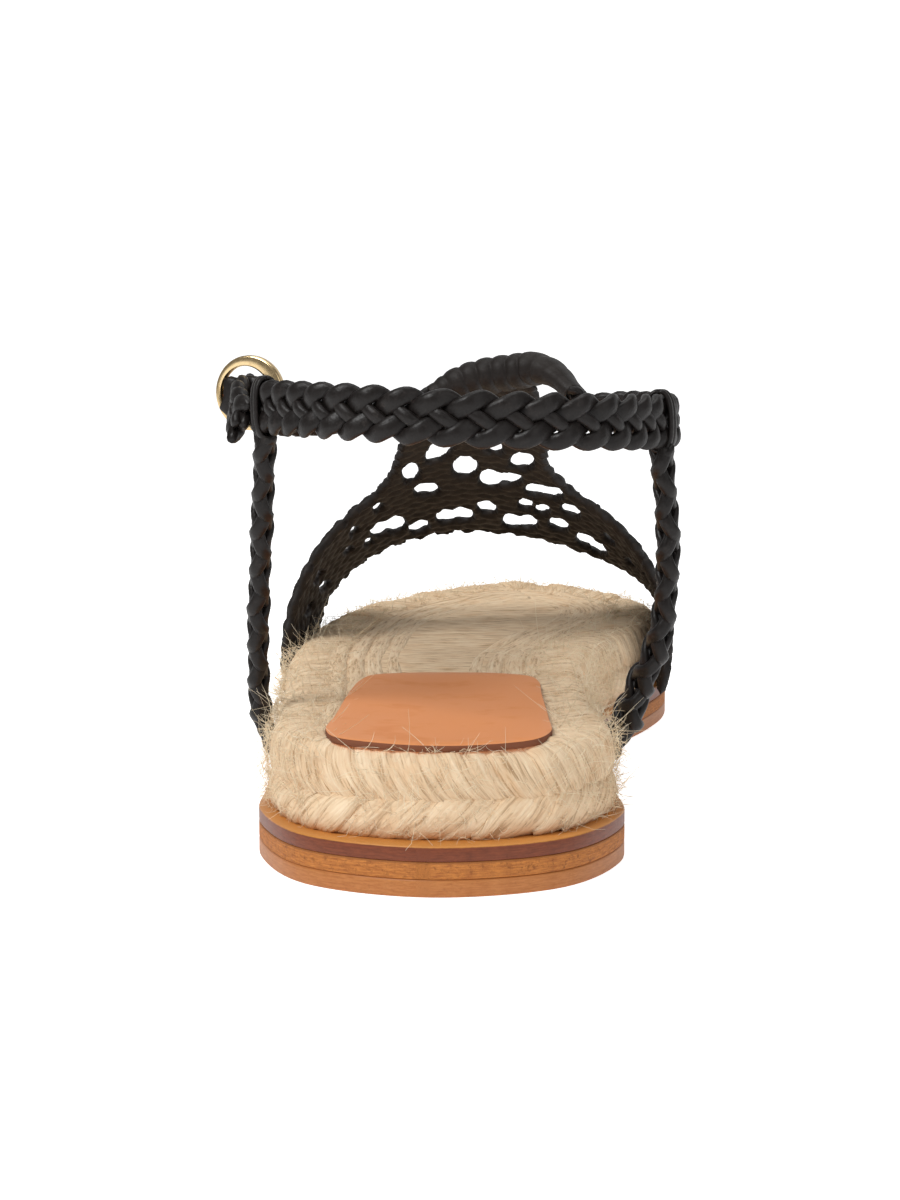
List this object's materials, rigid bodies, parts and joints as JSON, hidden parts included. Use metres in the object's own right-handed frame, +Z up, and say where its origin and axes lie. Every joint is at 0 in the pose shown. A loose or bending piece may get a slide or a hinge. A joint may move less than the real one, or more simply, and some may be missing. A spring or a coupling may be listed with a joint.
{
  "type": "flat sandal",
  "caption": "Left flat sandal with a stacked leather sole, braided jute footbed, openwork leather upper, braided ankle and side straps and a round buckle.",
  "frame": {"origin": "middle of the heel, an eighth of the sole's length from its back, on the floor", "axes": "+Z up, +Y towards the toes, +X towards the big toe side"},
  "size_m": [0.0927, 0.2499, 0.0953],
  "materials": {
    "sole_leather_smooth": "smooth tan sole leather, burnished edge",
    "sole_leather_rough": "raw fibrous tan edge",
    "sole_leather_dark": "dark reddish brown edge with an orange top rim",
    "jute": "wrapped and braided natural jute with loose hairs",
    "pad_leather": "smooth tan leather with a thin dark cut edge",
    "upper_leather": "charcoal openwork leather, soft sheen",
    "braid_leather": "charcoal braided leather, fine grain, soft sheen",
    "buckle_metal": "polished pale gold"
  },
  "bodies": {
    "root": {"outsole": "sole_leather_smooth", "middle_sole": "sole_leather_rough", "top_sole": "sole_leather_dark", "jute_footbed": "jute", "heel_pad": "pad_leather", "woven_upper": "upper_leather", "ankle_strap": "braid_leather", "side_strap_lateral": "braid_leather", "side_strap_medial": "braid_leather", "buckle_frame": "buckle_metal", "buckle_prong": "buckle_metal"}
  },
  "joints": []
}
